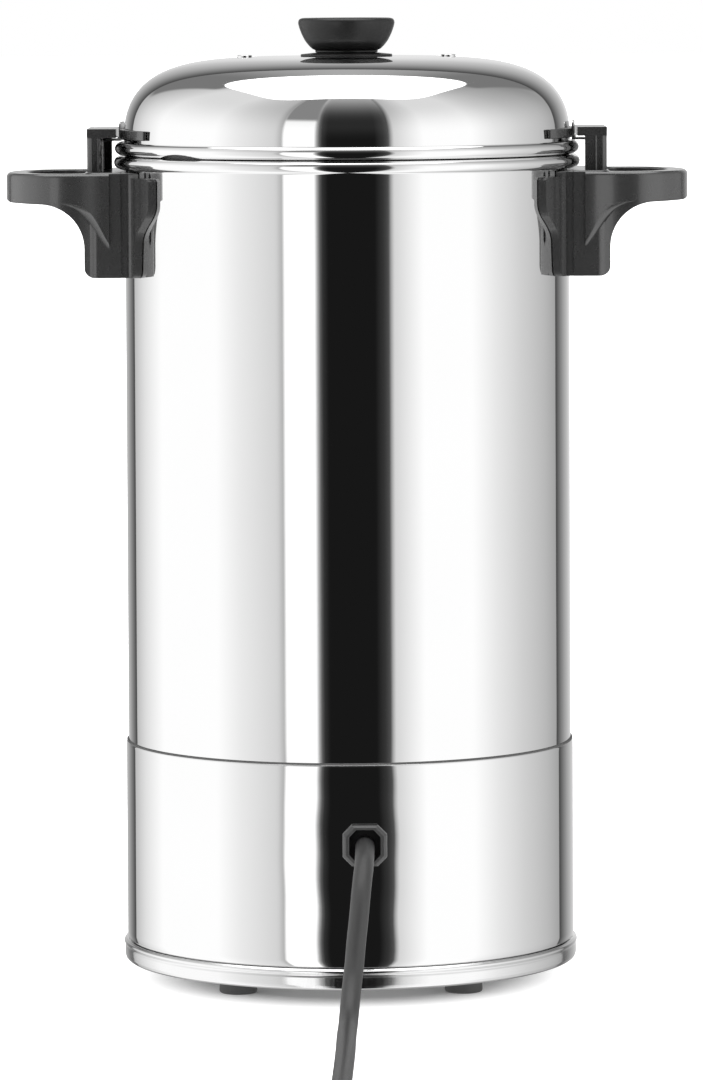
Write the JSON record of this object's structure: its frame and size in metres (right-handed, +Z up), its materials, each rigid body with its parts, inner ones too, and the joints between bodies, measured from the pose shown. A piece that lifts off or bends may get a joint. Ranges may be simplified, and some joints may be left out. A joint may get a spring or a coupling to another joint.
{
  "type": "electric soup kettle",
  "caption": "Tall electric soup kettle with a heated base, draw-off tap, side handles, twist-locking domed lid and mains cord.",
  "frame": {"origin": "centre of the base pan's underside, on the kettle's axis, 9.3 mm above the surface that the feet stand on", "axes": "+Z up along the kettle's axis, +Y towards the tap and controls, -Y towards the cord, handles along X"},
  "size_m": [0.308, 0.6749, 0.4356],
  "materials": {
    "polished_steel": "mirror-polished stainless steel",
    "plain_steel": "plain rolled or turned steel",
    "aluminium": "cast, unpolished",
    "brass": "turned",
    "black_plastic": "moulded phenolic, semi-gloss",
    "black_rubber": "moulded, matt",
    "white_ceramic": "glazed ceramic",
    "silicone": "translucent, satin",
    "red_lens": "clear moulded",
    "cord_black": "extruded rubber jacket, satin",
    "wire_brown": "insulation",
    "wire_blue": "insulation",
    "wire_green": "insulation"
  },
  "bodies": {
    "kettle": {"vessel": "polished_steel", "base_skirt": "polished_steel", "base_ring": "polished_steel", "tap_body": "polished_steel", "base_pan": "plain_steel", "heater_element": "plain_steel", "heater_clamp_bar": "plain_steel", "heater_stud": "plain_steel", "heater_nut": "plain_steel", "tap_pin": "plain_steel", "handle_right_screw_1": "plain_steel", "handle_right_screw_2": "plain_steel", "handle_left_screw_1": "plain_steel", "handle_left_screw_2": "plain_steel", "plug_pin_1": "plain_steel", "plug_pin_2": "plain_steel", "heater_plate": "aluminium", "tap_nut": "brass", "control_plate": "black_plastic", "switch_housing": "black_plastic", "tap_bonnet": "black_plastic", "handle_right": "black_plastic", "handle_left": "black_plastic", "cord_gland": "black_plastic", "cord_gland_nut": "black_plastic", "foot_1": "black_rubber", "foot_2": "black_rubber", "foot_3": "black_rubber", "foot_4": "black_rubber", "cord_tie": "black_rubber", "thermal_cutout": "white_ceramic", "thermostat_body": "white_ceramic", "terminal_block": "white_ceramic", "tap_washer_outer": "silicone", "tap_washer_inner": "silicone", "pilot_lamp": "red_lens", "cord_run": "cord_black", "cord_coil": "cord_black", "cord_tail": "cord_black", "plug_body": "cord_black", "wire_live": "wire_brown", "wire_neutral": "wire_blue", "wire_earth": "wire_green"},
    "lid": {"lid_shell": "polished_steel", "lid_inner_ring": "plain_steel", "lid_knob": "black_plastic", "lid_knob_washer": "black_plastic", "lid_knob_screw": "plain_steel", "lid_tab_right": "plain_steel", "lid_tab_left": "plain_steel", "lid_guard_right": "black_plastic", "lid_guard_left": "black_plastic"},
    "tap_lever": {"tap_lever": "black_plastic"},
    "tap_stem": {"tap_stem": "plain_steel", "tap_seat_cup": "silicone", "tap_spring": "plain_steel"},
    "dial": {"dial_knob": "black_plastic", "thermostat_shaft": "plain_steel"},
    "switch_rocker": {"switch_rocker": "black_plastic"}
  },
  "joints": [
    {"name": "lid_twist", "type": "hinge", "parent": "kettle", "child": "lid", "pos_m": [0, 0, 0.36785], "axis": [0, 0, 1], "range_deg": [0, 45]},
    {"name": "tap_lever_pull", "type": "hinge", "parent": "kettle", "child": "tap_lever", "pos_m": [0, 0.13, 0.1587], "axis": [-1, 0, 0], "range_deg": [0, 35], "stiffness_Nm_per_rad": 0.4, "springref_deg": -8.59},
    {"name": "tap_stem_lift", "type": "slide", "parent": "kettle", "child": "tap_stem", "axis": [0, 0, 1], "range_m": [0, 0.0041], "deforming": ["tap_spring"]},
    {"name": "dial_turn", "type": "hinge", "parent": "kettle", "child": "dial", "pos_m": [0, 0.104, 0.0627], "axis": [0, -1, 0], "range_deg": [0, 270]},
    {"name": "switch_rock", "type": "hinge", "parent": "kettle", "child": "switch_rocker", "pos_m": [0, 0.0995, 0.0347], "axis": [1, 0, 0], "range_deg": [0, 14]}
  ],
  "couplings": [
    {"joint": "tap_stem_lift", "follows": "tap_lever_pull", "m_per_rad": 0.0065}
  ]
}
